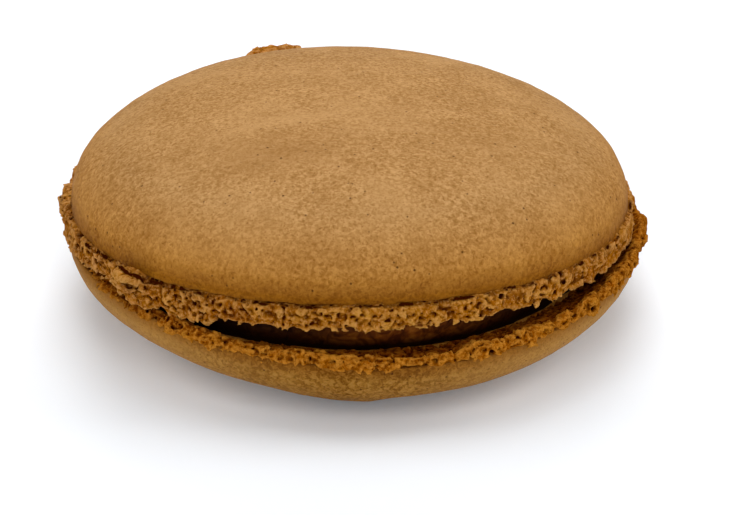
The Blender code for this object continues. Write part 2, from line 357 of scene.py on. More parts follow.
def make_piece(name, points, faces, node, material, layers):
    mesh = bpy.data.meshes.new(name)
    faces = [face for face in faces if len(face)]
    mesh.vertices.add(len(points))
    mesh.vertices.foreach_set("co", np.asarray(points, np.float32).ravel() * np.float32(MM))
    corners = np.concatenate([face.ravel() for face in faces]).astype(np.int32)
    sizes = np.concatenate([np.full(len(face), face.shape[1]) for face in faces])
    mesh.loops.add(len(corners))
    mesh.loops.foreach_set("vertex_index", corners)
    mesh.polygons.add(len(sizes))
    mesh.polygons.foreach_set("loop_start", np.concatenate([[0], np.cumsum(sizes)[:-1]]).astype(np.int32))
    mesh.update(calc_edges=True)
    mesh.validate()
    mesh.shade_smooth()
    for layer, values in layers.items():
        attribute = mesh.attributes.new(layer, "FLOAT", "POINT")
        attribute.data.foreach_set("value", np.asarray(values, np.float32))
    mesh.materials.append(material)
    piece = bpy.data.objects.new(name, mesh)
    bpy.context.scene.collection.objects.link(piece)
    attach(piece, "root")
    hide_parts(node)
    return piece


def ring_count(radius, step):
    count = 24
    while 2 * np.pi * radius / count > step * 1.25 and count < 768:
        count *= 2
    return count


def ring(angle, radius, height):
    turn = np.radians(angle)
    return np.stack([radius * np.cos(turn), radius * np.sin(turn), height + 0.0 * turn], axis=1)


def count_points(rings):
    return sum(len(points) for points in rings)


def lofted(rings):
    """Points and faces of a closed body through rings, whose counts stay, double or halve, or are 1."""
    starts = np.cumsum([0] + [len(points) for points in rings])
    quads, triangles = [], []
    for at, (upper, lower) in enumerate(zip(rings, rings[1:])):
        a, b = len(upper), len(lower)
        k = np.arange(max(a, b))
        i, j = starts[at], starts[at + 1]
        if a == b:
            n = (k + 1) % a
            quads.append(np.stack([i + k, j + k, j + n, i + n], axis=1))
        elif a == 1:
            triangles.append(np.stack([i + 0 * k, j + k, j + (k + 1) % b], axis=1))
        elif b == 1:
            triangles.append(np.stack([i + k, j + 0 * k, i + (k + 1) % a], axis=1))
        else:
            small, k = min(a, b), np.arange(min(a, b))
            few, many = (i, j) if a < b else (j, i)
            here, ahead = few + k, few + (k + 1) % small
            fine = [many + 2 * k, many + 2 * k + 1, many + (2 * k + 2) % (2 * small)]
            fans = [(here, fine[0], fine[1]), (here, fine[1], ahead), (ahead, fine[1], fine[2])]
            for fan in fans:
                triangles.append(np.stack(fan if a < b else fan[::-1], axis=1))
    faces = [np.concatenate(group) for group in (quads, triangles) if group]
    return np.concatenate(rings), faces


def profile_shares(radius, rise, fullness, step):
    """Shares of the edge radius, evenly spaced along a superellipse dome from its top to its edge."""
    turn = np.linspace(0.0, np.pi / 2, 4000)
    share = np.sin(turn) ** (2 / fullness)
    height = rise * np.cos(turn) ** (2 / fullness)
    length = np.concatenate([[0], np.cumsum(np.hypot(np.diff(share * radius), np.diff(height)))])
    return np.interp(np.arange(step, length[-1], step), length, share)


def bearing(points):
    return np.degrees(np.arctan2(points[:, 1], points[:, 0]))


def vertex_normals(points, faces):
    out = np.zeros_like(points)
    for face in faces:
        a, b, c = points[face[:, 0]], points[face[:, 1]], points[face[:, 2]]
        normal = np.cross(b - a, c - a)
        for corner in range(face.shape[1]):
            for axis in range(3):
                out[:, axis] += np.bincount(face[:, corner], normal[:, axis], len(points))
    return out / np.maximum(np.linalg.norm(out, axis=1, keepdims=True), 1e-9)


def net_surface(block, field):
    """Points and quads of the surface where the field is 0, closed round the rim, and each point's cell."""
    field = field.copy()
    field[:, [0, -1], :] = np.maximum(field[:, [0, -1], :], VOXEL)
    field[:, :, [0, -1]] = np.maximum(field[:, :, [0, -1]], VOXEL)
    count, across, tall = field.shape
    ahead = np.roll(field, -1, axis=0)
    corner = {}
    for a in (0, 1):
        for b in (0, 1):
            for c in (0, 1):
                corner[a, b, c] = (ahead if a else field)[:, b:across - 1 + b, c:tall - 1 + c]
    solid = sum((value < 0).astype(np.int8) for value in corner.values())
    cell = np.nonzero((solid > 0) & (solid < 8))
    number = np.full(solid.shape, -1, np.int32)
    number[cell] = np.arange(len(cell[0]))
    at = {key: value[cell] for key, value in corner.items()}
    total, crossings = np.zeros((len(cell[0]), 3)), np.zeros(len(cell[0]))
    for start in at:
        for axis in range(3):
            if start[axis]:
                continue
            end = tuple(1 if k == axis else start[k] for k in range(3))
            crosses = (at[start] < 0) != (at[end] < 0)
            share = at[start] / np.where(crosses, at[start] - at[end], 1.0)
            place = np.tile(np.array(start, float), (len(share), 1))
            place[:, axis] = share
            total += place * crosses[:, None]
            crossings += crosses
    local = total / crossings[:, None]
    angle = block.angle[cell[0]] + local[:, 0] * 360.0 / count
    radius = block.radius[cell[1]] + local[:, 1] * np.diff(block.radius)[cell[1]]
    height = block.height[cell[2]] + local[:, 2] * np.diff(block.height)[cell[2]]
    quads = []
    inside = field < 0
    for axis in range(3):
        other = np.roll(inside, -1, axis=0) if axis == 0 else inside
        low = [slice(None)] * 3
        high = [slice(None)] * 3
        if axis:
            low[axis], high[axis] = slice(0, -1), slice(1, None)
        a, b = inside[tuple(low)], other[tuple(high)]
        edge = np.nonzero(a != b)
        sides = [k for k in range(3) if k != axis]
        quad = []
        for first, second in ((1, 1), (0, 1), (0, 0), (1, 0)):
            index = list(edge)
            for side, back in zip(sides, (first, second)):
                index[side] = index[side] - back
            index[0] = index[0] % count
            quad.append(number[tuple(index)])
        quad = np.stack(quad, axis=1)
        flip = a[edge] != (axis == 1)
        quad[flip] = quad[flip][:, ::-1]
        quads.append(quad)
    turn = np.radians(angle)
    points = np.stack([radius * np.cos(turn), radius * np.sin(turn), height], axis=1)
    return points, np.concatenate(quads), cell


def largest_body(points, quads, values):
    """Drops what floats clear of the largest body."""
    label = np.arange(len(points))
    while True:
        lowest = label[quads].min(axis=1)
        new = label.copy()
        for corner in range(4):
            np.minimum.at(new, quads[:, corner], lowest)
        new = new[new]
        if (new == label).all():
            break
        label = new
    main = np.bincount(label).argmax()
    keep = label == main
    number = np.cumsum(keep) - 1
    quads = number[quads[keep[quads[:, 0]]]]
    return points[keep], quads, [value[keep] for value in values]


# The shells' skins

def skin_relief(points, seed):
    """Slow unevenness and fine wrinkling of the baked skin."""
    out = 0.05 * noise(points, 7.0, seed) + 0.03 * noise(points, 3.1, seed + 1)
    bent = points + 0.9 * np.stack([noise(points, 2.6, seed + k) for k in (2, 3, 4)], axis=1)
    wrinkle = 1.0 - np.abs(noise(bent * (1.0, 1.7, 1.0), 3.4, seed + 5))
    out += 0.03 * wrinkle ** 6
    out += 0.011 * noise(points, 0.9, seed + 6) + 0.009 * noise(points, 0.45, seed + 7)
    return out


def curled_edge(radius, height, inward, down, side):
    """Rings that carry a skin's edge round and under itself, side -1 for a skin that ends downwards."""
    rings = []
    for turn in np.radians((25, 50, 75, 100, 130)):
        rings.append((radius - inward * (1 - np.cos(turn)), height + side * down * np.sin(turn)))
    return rings


def edge_wobble(angle):
    return EDGE_WOBBLE * (rim_noise(angle, 1.9, 51) + 0.6 * rim_noise(angle, 0.8, 52))


def top_skin_rings():
    rings = [np.array([[0.0, 0.0, TOP_EDGE_HEIGHT[0] + TOP_RISE]])]
    for share in profile_shares(TOP_EDGE_RADIUS[0], TOP_RISE, TOP_FULLNESS, SKIN_STEP):
        angle = angles(ring_count(share * TOP_EDGE_RADIUS[0], SKIN_STEP))
        height = TOP_EDGE_HEIGHT[0] + (wave(TOP_EDGE_HEIGHT, angle) - TOP_EDGE_HEIGHT[0]) * share
        height += TOP_RISE * superellipse(share, TOP_FULLNESS) + rim_lift(angle) * share ** 8
        height += edge_wobble(angle) * share ** 60
        rings.append(ring(angle, wave(TOP_EDGE_RADIUS, angle) * share, height))
    angle = angles(len(rings[-1]))
    edge = wave(TOP_EDGE_HEIGHT, angle) + rim_lift(angle) + edge_wobble(angle)
    for radius, height in curled_edge(wave(TOP_EDGE_RADIUS, angle), edge, 0.3, 0.22, -1):
        rings.append(ring(angle, radius, height))
    visible = len(rings)
    rings.append(ring(angle, FOOT_INNER_RADIUS + 0.4, edge - 0.3))
    for share, count in TOP_PLATE_RINGS:
        angle = angles(count)
        rings.append(ring(angle, share * FOOT_INNER_RADIUS, wave(TOP_PLATE_HEIGHT, angle)))
    rings.append(np.array([[0.0, 0.0, TOP_PLATE_HEIGHT[0]]]))
    return rings, visible


def keel(points):
    turn = np.radians(KEEL_ANGLE)
    outward, sideways = np.array([np.cos(turn), np.sin(turn)]), np.array([-np.sin(turn), np.cos(turn)])
    along = (points[:, :2] @ outward - KEEL_RADIUS) / KEEL_ALONG
    across = points[:, :2] @ sideways
    across /= np.where(across > 0.0, *KEEL_ACROSS)
    return KEEL_DROP * np.exp(-along ** 2 - across ** 2)


def bottom_skin_rings():
    """From the plate's middle outwards, round the edge and down to the middle underneath."""
    rings = [np.array([[0.0, 0.0, BOTTOM_PLATE_HEIGHT]])]
    for radius, height, count in BOTTOM_PLATE_RINGS:
        rings.append(ring(angles(count), radius, height))
    shares = profile_shares(BOTTOM_EDGE_RADIUS[0], BOTTOM_DEPTH, BOTTOM_FULLNESS, SKIN_STEP)
    angle = angles(ring_count(BOTTOM_EDGE_RADIUS[0], SKIN_STEP))
    radius, edge = wave(BOTTOM_EDGE_RADIUS, angle), wave(BOTTOM_EDGE_HEIGHT, angle)
    rings.append(ring(angle, radius - 0.7, edge - 0.3))
    hidden = len(rings)
    for turned_in in reversed(curled_edge(radius, edge, 0.22, 0.16, 1)):
        rings.append(ring(angle, *turned_in))
    for share in reversed(shares):
        angle = angles(ring_count(share * BOTTOM_EDGE_RADIUS[0], SKIN_STEP))
        height = BOTTOM_EDGE_HEIGHT[0] + (wave(BOTTOM_EDGE_HEIGHT, angle) - BOTTOM_EDGE_HEIGHT[0]) * share
        height -= BOTTOM_DEPTH * superellipse(share, BOTTOM_FULLNESS)
        skin = ring(angle, wave(BOTTOM_EDGE_RADIUS, angle) * share, height)
        skin[:, 2] -= keel(skin)
        rings.append(skin)
    rings.append(np.array([[0.0, 0.0, 0.0]]))
    return rings, hidden


def dome_swells(points):
    """The dome's long soft swells and hollows: their rise in mm, and how much lighter or darker they are."""
    rise, tone = np.zeros(len(points)), np.zeros(len(points))
    for x, y, turn, half_length, half_width, height, lighter in DOME_SWELLS:
        along = np.array([np.cos(np.radians(turn)), np.sin(np.radians(turn))])
        off = points[:, :2] - (x, y)
        oval = (off @ along / half_length) ** 2 + (off @ (-along[1], along[0]) / half_width) ** 2
        share = np.exp(-oval) * (points[:, 2] > TOP_EDGE_HEIGHT[0])
        rise += height * share
        tone += lighter * share
    return rise, tone


def add_top_skin(material):
    rings, visible = top_skin_rings()
    points, faces = lofted(rings)
    shown = np.arange(len(points)) < count_points(rings[:visible])
    rise, tone = dome_swells(points)
    points += vertex_normals(points, faces) * ((skin_relief(points, 100) + rise) * shown)[:, None]
    layers = {
        "edge": edge_share(points, 1),
        "lighter": np.maximum(tone, 0.0),
        "darker": np.maximum(-tone, 0.0),
    }
    return make_piece("top_skin", points, faces, "shell_top", material, layers)


def add_bottom_skin(material):
    rings, hidden = bottom_skin_rings()
    points, faces = lofted(rings)
    shown = np.arange(len(points)) >= count_points(rings[:hidden])
    reach = np.hypot(points[:, 0], points[:, 1])
    away = np.clip((reach - FLAT_SPOT_RADIUS) / FLAT_SPOT_BLEND, 0.0, 1.0)
    points += vertex_normals(points, faces) * (skin_relief(points, 200) * shown * away)[:, None]
    points[:, 2] = np.maximum(points[:, 2], FLAT_SPOT_CLEAR * away ** 2)
    # Painted shade: the bottom skin is browner round its front, which gets less light.
    front = swell(bearing(points), *SHADED_FRONT) * blend(10.0, 20.0, reach)
    layers = {"edge": edge_share(points, -1), "front": front}
    return make_piece("bottom_skin", points, faces, "shell_bottom", material, layers)


def edge_share(points, side):
    """How near a skin's point is to its edge, 0 well away and 1 at the edge."""
    angle = bearing(points)
    if side > 0:
        away = points[:, 2] - wave(TOP_EDGE_HEIGHT, angle) - rim_lift(angle)
    else:
        away = wave(BOTTOM_EDGE_HEIGHT, angle) - points[:, 2]
    return 1.0 - np.clip(away / 6.0, 0.0, 1.0)


# The feet

def foam(block, envelope, face, visible, seed, bubbles):
    """Crumbly baked foam: lumps, uneven crumbs, burst cells with thin walls and larger open bubbles."""
    near = np.nonzero((envelope > -FOAM_REACH) & (envelope < FOAM_REACH))
    along = block.angle[near[0]] / 360.0 * RIM_LAP
    place = np.stack([along, block.radius[near[1]], block.height[near[2]]], axis=1).astype(np.float32)
    bend = [noise(place, 0.8, seed + k, RIM_LAP) for k in (20, 21, 22)]
    curl = [noise(place, 0.33, seed + k, RIM_LAP) for k in (23, 24, 25)]
    bent = place + FOAM_BEND[0] * np.stack(bend, axis=1) + FOAM_BEND[1] * np.stack(curl, axis=1)
    bent = bent.astype(np.float32)
    relief = LUMPS * noise(place, 2.3, seed, RIM_LAP)
    relief = relief + 0.7 * LUMPS * noise(place, 1.1, seed + 1, RIM_LAP)
    relief += FINE_NOISE * noise(bent, 0.3, seed + 2, RIM_LAP)
    for size, depth, step in PLATES:
        relief += depth * (np.sqrt(np.abs(noise(bent, size, seed + step, RIM_LAP))) - 0.5)
    for size, depth, step in CRUMBS:
        relief += depth * (scattered(bent, size, seed + step, RIM_LAP) / size - 0.42)
    shown = np.broadcast_to(visible, envelope.shape)[near]
    surface = envelope[near] - FOAM_SWELL + relief * shown
    for size, radii, share, step in BUBBLES:
        carved = -scattered(bent, size, seed + step, RIM_LAP, radii, share)
        surface = np.maximum(surface, carved - 0.5 * (1 - shown))
    field = envelope.copy()
    field[near] = surface
    angle, radius, height = block.axes()
    for centre, level, size in bubbles:
        turn = np.radians(turned(angle, centre))
        reach = np.sqrt((22.0 * turn) ** 2 + (0.6 * (radius - face)) ** 2 + (height - level) ** 2)
        field = np.maximum(field, size - reach)
    return field


def hollows(points, quads):
    """How far each point lies below the smoothed surface round it, in mm."""
    edges = np.concatenate([quads[:, [k, (k + 1) % 4]] for k in range(4)])
    ends = np.concatenate([edges[:, 0], edges[:, 1]])
    others = np.concatenate([edges[:, 1], edges[:, 0]])
    count = np.bincount(ends, minlength=len(points))[:, None]
    smooth = points
    for _ in range(HOLLOW_STEPS):
        total = [np.bincount(ends, smooth[others, axis], len(points)) for axis in range(3)]
        smooth = np.stack(total, axis=1) / count
    return ((smooth - points) * vertex_normals(points, [quads])).sum(axis=1)


def foot_piece(name, node, block, field, layers, material):
    points, quads, cell = net_surface(block, field)
    names = list(layers)
    values = [np.broadcast_to(layers[key], field.shape)[cell] for key in names]
    points, quads, values = largest_body(points, quads, values)
    layers = dict(zip(names, values), hollow=hollows(points, quads))
    piece = make_piece(name, points, [quads], node, material, layers)
    triangles = 2 * len(quads)
    if triangles > MOST_TRIANGLES:
        thin(piece, MOST_TRIANGLES / triangles)
    return piece


def thin(piece, share):
    """Takes triangles out where the surface is flattest."""
    piece.modifiers.new("thin", "DECIMATE").ratio = share
    graph = bpy.context.evaluated_depsgraph_get()
    thinned = piece.evaluated_get(graph)
    mesh = bpy.data.meshes.new_from_object(thinned, preserve_all_data_layers=True, depsgraph=graph)
    whole, piece.data = piece.data, mesh
    bpy.data.meshes.remove(whole)
    piece.modifiers.clear()


def segment_distance(radius, height, start, end):
    """Distance in the plane of radius and height to a line between two points that vary round the rim."""
    along_r, along_h = end[0] - start[0], end[1] - start[1]
    length = along_r ** 2 + along_h ** 2 + 1e-6
    share = np.clip(((radius - start[0]) * along_r + (height - start[1]) * along_h) / length, 0.0, 1.0)
    return np.hypot(radius - start[0] - share * along_r, height - start[1] - share * along_h)


def add_top_foot(material):
    inner = 21.2
    block = Block(inner - 0.3, 25.6, 6.0, 13.0)
    angle, radius, height = block.axes()
    edge_radius = wave(TOP_EDGE_RADIUS, angle)
    edge_height = wave(TOP_EDGE_HEIGHT, angle) + rim_lift(angle) + edge_wobble(angle)
    out, up = flares(angle, TOP_FOOT_FLARES)
    low = np.maximum(wave(TOP_FOOT_HEIGHT, angle) + LIP_LIFT, wave(BOTTOM_EDGE_HEIGHT, angle) + 0.3)
    low = low + sum(lift * swell(angle, centre, half_width) for centre, half_width, lift in LIP_LIFTS)
    teeth = 0.1 * rim_noise(angle, 1.4, 61) + 0.06 * rim_noise(angle, 0.6, 62)
    face = wave(TOP_FOOT_RADIUS, angle) + out - 0.14
    merged = swell(angle, *MERGED_RIGHT)
    head = edge_height - 0.34 + up + 0.42 * merged - 0.35 * (radius - edge_radius)
    sides = smooth_max(radius - face, inner - radius, 0.15)
    ends = smooth_max(low + teeth + 0.1 * (22.3 - radius) - height, height - head, 0.15)
    envelope = smooth_max(sides, ends, 0.25)
    burst = frill(angle)
    start = (face - 0.5, edge_height - 0.9)
    end = (start[0] + FRILL_REACH[0] * burst, start[1] + 0.6 + FRILL_REACH[1] * burst * frill_shape(angle))
    ledge = segment_distance(radius, height, start, end) - FRILL_THICKNESS * np.minimum(1.0, 2.0 * burst)
    envelope = smooth_min(envelope, np.where(burst > 0.02, ledge, 9.0), 0.3)
    line = np.hypot(radius - edge_radius - 0.12 - out, height - edge_height + 0.18 - up - 0.2 * merged)
    width = SEAM[0] + SEAM[1] * rim_noise(angle, 0.9, 63) - SEAM[2] * merged
    width = width + SEAM_WIDER[2] * swell(angle, *SEAM_WIDER[:2])
    envelope = smooth_max(envelope, width - line, 0.08)
    envelope = add_flake(envelope, angle, radius - face, height)
    visible = blend(inner + 0.1, inner + 0.5, radius) * (1 - 0.45 * burst) * calm(angle, CALMER_TOP)
    visible = visible * (1 - 0.5 * swell(angle, FLAKE[0], 4.0))
    field = foam(block, envelope, face, visible, 300, TOP_BUBBLES)
    layers = {
        "deep": -envelope,
        "pale": np.clip((height - low) / (edge_height - low), 0.0, 1.0) * (1 - burst),
        "seam": np.clip(1.0 - (line - np.maximum(width, 0.0)) / 0.16, 0.0, 1.0) * (width > 0),
        "tint": swell(angle, *GOLDEN_FRONT) + 0.0 * radius,
    }
    return foot_piece("top_foot", "shell_top", block, field, layers, material)


def calm(angle, table):
    """What share of the foam's relief is left after the table's calmer stretches."""
    out = 1.0
    for centre, half_width, less in table:
        out = out * (1 - less * swell(angle, centre, half_width))
    return out


def add_flake(envelope, angle, out, height):
    """A cup-shaped flake on the foot's face: a thin raised rim round a scooped hollow."""
    centre, level, half_width, half_height = FLAKE
    across = 22.6 * np.radians(turned(angle, centre)) / half_width + 0.15 * rim_noise(angle, 0.7, 65)
    oval = np.sqrt(across ** 2 + ((height - level) / half_height) ** 2)
    lower_right = np.maximum((across - (height - level) / half_height) / np.maximum(oval, 0.2), 0.0)
    rim = np.hypot((oval - 1.0) * half_height, 0.6 * (out - 0.25)) - 0.2 + 0.12 * lower_right
    scoop = 0.42 - np.hypot(oval * half_height * 0.8, out - 0.3)
    return smooth_max(smooth_min(envelope, rim, 0.08), scoop, 0.05)


def frill_shape(angle):
    """The frill's height: full at its left, lower at its right, ragged along its top."""
    off = turned(angle, FRILL_ANGLE)
    return 0.94 + 0.012 * off + 0.02 * rim_noise(angle, 0.9, 64)


def add_bottom_foot(material):
    inner = 19.7
    block = Block(inner - 0.2, 24.9, 5.1, 8.9)
    angle, radius, height = block.axes()
    edge_radius, edge_height = wave(BOTTOM_EDGE_RADIUS, angle), wave(BOTTOM_EDGE_HEIGHT, angle)
    out, up = flares(angle, BOTTOM_FOOT_FLARES)
    ruffle = swell(angle, *RUFFLED_RIGHT) * rim_noise(angle, 1.1, 72)
    above = np.maximum(wave(TOP_FOOT_HEIGHT, angle), edge_height + 0.78)
    head = np.minimum(edge_height + BOTTOM_FOOT_TALL, above - 0.15)
    head = head + 0.1 * rim_noise(angle, 1.3, 71) + 0.18 * ruffle
    ridge = edge_radius - wave(BOTTOM_FOOT_LEAN, angle) + 0.6 * out
    inner_drop = (head - 6.1) * np.clip((ridge - radius) / (ridge - 20.5), 0.0, 1.05)
    outer_drop = 0.8 * np.maximum(radius - ridge, 0.0)
    scallops = 0.1 * rim_noise(angle, 1.5, 73) + 0.06 * rim_noise(angle, 0.7, 74)
    centre, half_width, tuck = LEFT_TUCK
    face = edge_radius - 0.06 + out + 0.12 * ruffle - tuck * swell(angle, centre, half_width)
    sides = smooth_max(radius - face, inner - radius, 0.15)
    centre, half_width, lift = LEFT_ROOT_LIFT
    root = edge_height + 0.08 + scallops + lift * swell(angle, centre, half_width)
    root = root - 1.3 * blend(0.35, 1.0, edge_radius - radius)
    ends = smooth_max(height - head + inner_drop + outer_drop, np.maximum(root, 5.4) - height, 0.15)
    envelope = smooth_max(sides, ends, 0.25)
    visible = blend(inner + 0.1, inner + 0.4, radius) * blend(0.7, 0.3, edge_height - height)
    visible = visible * calm(angle, CALMER_BOTTOM)
    field = foam(block, envelope, edge_radius + out, visible, 400, BOTTOM_BUBBLES)
    # The inner face's painted shade reaches further out at the left.
    outer_share = np.clip((radius - ridge + 0.9) / 0.9, 0.0, 1.0) * (1 - 0.6 * swell(angle, *DARKER_LEFT))
    tint = swell(angle, *DARKER_LEFT) + swell(angle, *DARKER_RIGHT)
    layers = {"deep": -envelope, "pale": outer_share, "seam": 0.0 * radius, "tint": tint + 0.0 * radius}
    return foot_piece("bottom_foot", "shell_bottom", block, field, layers, material)


# The filling

def add_ganache(material):
    coarse, fine = angles(192), angles(768)
    radius = wave(FILLING_RADIUS, fine)
    top, low = wave(TOP_PLATE_HEIGHT, fine) + 0.15, BOTTOM_PLATE_HEIGHT - 0.15
    rings = [np.array([[0.0, 0.0, TOP_PLATE_HEIGHT[0] - 0.1]])]
    rings.append(ring(coarse, 9.0, wave(TOP_PLATE_HEIGHT, coarse) - 0.1))
    rings.append(ring(angles(384), 19.0, wave(TOP_PLATE_HEIGHT, angles(384)) - 0.1))
    for level in np.linspace(0.0, 1.0, 22):
        bulge = 0.25 * np.sin(np.pi * level) - 0.3 * level ** 3
        rings.append(ring(fine, radius + bulge, top + (low - top) * level))
    rings.append(ring(angles(384), 19.0, BOTTOM_PLATE_HEIGHT - 0.1))
    rings.append(ring(coarse, 9.0, BOTTOM_PLATE_HEIGHT - 0.1))
    rings.append(np.array([[0.0, 0.0, BOTTOM_PLATE_HEIGHT - 0.1]]))
    points, faces = lofted(rings)
    outward = points * (1.0, 1.0, 0.0) / np.maximum(np.hypot(points[:, :1], points[:, 1:2]), 1.0)
    relief = 0.12 * noise(points, 2.4, 81) + 0.06 * noise(points * (1, 1, 2.5), 0.9, 82)
    relief += 0.03 * noise(points * (1, 1, 3), 0.4, 83)
    points += outward * (relief * (np.hypot(points[:, 0], points[:, 1]) > 19.3))[:, None]
    angle = bearing(points)
    tall = wave(TOP_PLATE_HEIGHT, angle) - BOTTOM_PLATE_HEIGHT
    layers = {"rise": (points[:, 2] - BOTTOM_PLATE_HEIGHT) / tall, "lit": swell(angle, *LIGHTER_FILLING)}
    return make_piece("ganache", points, faces, "filling", material, layers)


# Materials

def srgb(colour):
    """A colour as a picture shows it, 0 to 255, as the shader's own values."""
    shown = np.array(colour) / 255.0
    linear = np.where(shown <= 0.04045, shown / 12.92, ((shown + 0.055) / 1.055) ** 2.4)
    return (*linear, 1.0)


class Shader:
    """A Principled material whose nodes are added and linked by short calls."""

    def __init__(self, name, roughness, specular):
        self.material = bpy.data.materials.new(name)
        self.material.use_nodes = True
        self.tree = self.material.node_tree
        self.surface = self.tree.nodes["Principled BSDF"]
        self.surface.inputs["Roughness"].default_value = roughness
        self.surface.inputs["Specular IOR Level"].default_value = specular
        self.place = self.node("ShaderNodeTexCoord").outputs["Object"]

    def node(self, kind, **settings):
        made = self.tree.nodes.new(kind)
        for key, value in settings.items():
            if key.startswith("in_"):
                made.inputs[key[3:].replace("_", " ")].default_value = value
            else:
                setattr(made, key, value)
        return made

    def link(self, source, target):
        self.tree.links.new(source, target)

    def noise(self, size, detail=2.0, distortion=0.0, rough=0.55):
        """Noise whose features are about this many millimetres across."""
        made = self.node("ShaderNodeTexNoise", in_Scale=1.0 / (size * MM), in_Detail=detail)
        made.inputs["Distortion"].default_value = distortion
        made.inputs["Roughness"].default_value = rough
        self.link(self.place, made.inputs["Vector"])
        return made.outputs["Fac"]

    def layer(self, name):
        return self.node("ShaderNodeAttribute", attribute_name=name).outputs["Fac"]

    def ramp(self, source, *stops):
        made = self.node("ShaderNodeValToRGB")
        elements = made.color_ramp.elements
        while len(elements) < len(stops):
            elements.new(0.5)
        for element, (place, colour) in zip(elements, stops):
            element.position = place
            element.color = colour
        self.link(source, made.inputs["Fac"])
        return made.outputs["Color"]

    def map(self, source, low, high, to_low=0.0, to_high=1.0):
        made = self.node("ShaderNodeMapRange", clamp=True)
        self.link(source, made.inputs["Value"])
        for key, value in zip(("From Min", "From Max", "To Min", "To Max"), (low, high, to_low, to_high)):
            made.inputs[key].default_value = value
        return made.outputs["Result"]

    def mix(self, share, first, second, kind="MIX"):
        made = self.node("ShaderNodeMix", data_type="RGBA", blend_type=kind)
        for socket, value in ((made.inputs[0], share), (made.inputs[6], first), (made.inputs[7], second)):
            if isinstance(value, bpy.types.NodeSocket):
                self.link(value, socket)
            else:
                socket.default_value = value
        return made.outputs[2]

    def bump(self, source, distance, normal=None):
        made = self.node("ShaderNodeBump", in_Distance=distance * MM, in_Strength=1.0)
        self.link(source, made.inputs["Height"])
        if normal:
            self.link(normal, made.inputs["Normal"])
        return made.outputs["Normal"]

    def finish(self, colour, normal, roughness=None):
        self.link(colour, self.surface.inputs["Base Color"])
        self.link(normal, self.surface.inputs["Normal"])
        if roughness:
            self.link(roughness, self.surface.inputs["Roughness"])
        return self.material


def skin_material(name, look):
    """Fine grained baked skin with specks and pores; the look's contrast is how strong the grain is."""
    light, mid, dark = srgb(look["light"]), srgb(look["mid"]), srgb(look["dark"])
    s = Shader(name, 0.72, 0.05)
    grain = s.noise(0.34, 4.0, 0.5, 0.7)
    fine = s.noise(0.17, 2.0)
    half = 0.14 / look["contrast"]
    colour = s.ramp(grain, (0.5 - half, dark), (0.5, mid), (0.5 + half, light))
    colour = s.mix(s.map(s.noise(3.2, 3.0, 0.6), 0.35, 0.68, 0.0, 0.35), colour, dark)
    colour = s.mix(s.map(s.noise(5.0, 2.0, 0.4), 0.45, 0.7, 0.0, 0.35), colour, light)
    colour = s.mix(s.map(fine, 0.6, 0.76, 0.0, 0.5), colour, light)
    # Painted shade: the bottom skin keeps its browner colour at the front, which gets less light, and turns
    # paler elsewhere.
    if "paler" in look:
        colour = s.mix(s.map(s.layer("front"), 0.0, 1.0, 0.7, 0.0), colour, srgb(look["paler"]))
    else:
        colour = s.mix(s.layer("lighter"), colour, light)
        colour = s.mix(s.layer("darker"), colour, dark)
    colour = s.mix(s.map(fine, 0.4, 0.24, 0.0, 0.8), colour, srgb(look["speck"]))
    # Painted shade: these tints darken and brown the skin towards its edge.
    for reach, tint in look["edges"]:
        colour = s.mix(s.map(s.layer("edge"), *reach), colour, tint, "MULTIPLY")
    pores = s.node("ShaderNodeTexVoronoi", in_Scale=1.0 / (0.8 * MM))
    s.link(s.place, pores.inputs["Vector"])
    pit = s.map(pores.outputs["Distance"], 0.07, 0.13, 1.0, 0.0)
    some = s.map(pores.outputs["Color"], 0.62, 0.64)
    pit = s.mix(1.0, pit, some, "MULTIPLY")
    colour = s.mix(s.mix(1.0, pit, (0.8, 0.8, 0.8, 1.0), "MULTIPLY"), colour, srgb(PORE))
    normal = s.bump(grain, 0.07 * look["contrast"])
    normal = s.bump(fine, 0.03 * look["contrast"], normal)
    normal = s.bump(s.map(pit, 0.0, 1.0, 1.0, 0.0), 0.08, normal)
    return s.finish(colour, normal, s.map(grain, 0.3, 0.7, 0.78, 0.66))


